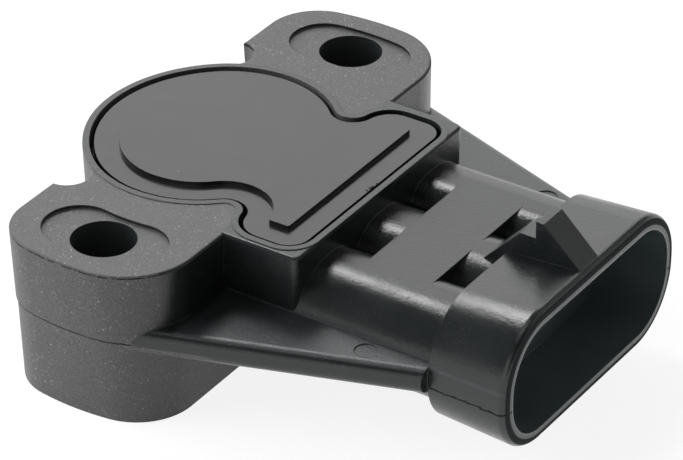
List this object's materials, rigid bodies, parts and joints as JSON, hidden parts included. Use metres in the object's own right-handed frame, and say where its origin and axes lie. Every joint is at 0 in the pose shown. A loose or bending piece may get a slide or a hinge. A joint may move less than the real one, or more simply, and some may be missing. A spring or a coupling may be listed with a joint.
{
  "type": "throttle position sensor",
  "caption": "Black plastic rotary position sensor: round capped cup between bolt ears, tubes leading to a flat plug socket with a latch ramp, and a spring-returned rotor.",
  "frame": {"origin": "on the rotor axis, at the flat mounting face under the cup and ears", "axes": "+Z along the rotor axis from the mounting face to the cover, +X out of the plug socket's mouth, +Y towards one bolt ear"},
  "size_m": [0.0523, 0.0518, 0.019],
  "materials": {
    "housing_plastic": "fine moulded grain, semi-matt black",
    "cover_plastic": "smooth satin black",
    "sealant": "cured dark bead",
    "card_laminate": "matt laminate",
    "carbon_ink": "matt printed film",
    "silver_ink": "matt printed film",
    "solder": "bright",
    "rotor_plastic": "natural, matt",
    "contact_alloy": "bright sheet",
    "seal_rubber": "matt",
    "washer_plastic": "smooth, matt",
    "spring_steel": "drawn wire",
    "terminal_brass": "tinned"
  },
  "bodies": {
    "case": {"housing": "housing_plastic", "cover": "cover_plastic", "cover_seal": "sealant", "resistor_card": "card_laminate", "resistor_track": "carbon_ink", "collector_track": "carbon_ink", "conductor_leads": "silver_ink", "solder_joints": "solder", "shaft_seal": "seal_rubber", "thrust_washer": "washer_plastic", "return_spring": "spring_steel", "terminal_ground": "terminal_brass", "terminal_signal": "terminal_brass", "terminal_supply": "terminal_brass"},
    "rotor": {"rotor": "rotor_plastic", "wiper_contact": "contact_alloy"}
  },
  "joints": [
    {"name": "rotor_turn", "type": "hinge", "parent": "case", "child": "rotor", "pos_m": [0, 0, 0], "axis": [0, 0, 1], "range_deg": [0, 100], "stiffness_Nm_per_rad": 0.01, "springref_deg": -45.84, "deforming": ["return_spring"]}
  ]
}
